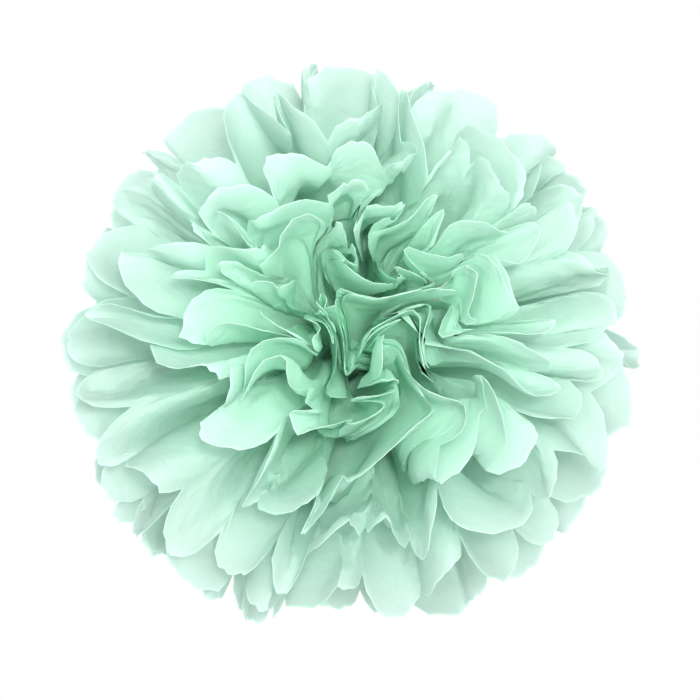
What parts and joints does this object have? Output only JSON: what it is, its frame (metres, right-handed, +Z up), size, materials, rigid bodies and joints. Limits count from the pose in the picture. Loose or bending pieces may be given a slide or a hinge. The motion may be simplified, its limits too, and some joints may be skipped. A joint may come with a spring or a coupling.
{
  "type": "tissue paper pom pom",
  "caption": "Round hanging decoration of pleated tissue sheets, tied across the middle with wire and fluffed into a ball of ruffled petals.",
  "frame": {"origin": "middle of the wire tie, where all the sheets cross at the centre of the ball", "axes": "+Z up as the ball is seen in the picture, +X to its right, -Y out of the middle of its ruffled front"},
  "size_m": [0.2466, 0.238, 0.2394],
  "materials": {
    "tissue": "matte",
    "wire": "satin"
  },
  "bodies": {
    "root": {"sheet_01": "tissue", "sheet_02": "tissue", "sheet_03": "tissue", "sheet_04": "tissue", "sheet_05": "tissue", "sheet_06": "tissue", "sheet_07": "tissue", "sheet_08": "tissue", "sheet_09": "tissue", "sheet_10": "tissue", "tie_wire": "wire"}
  },
  "joints": []
}
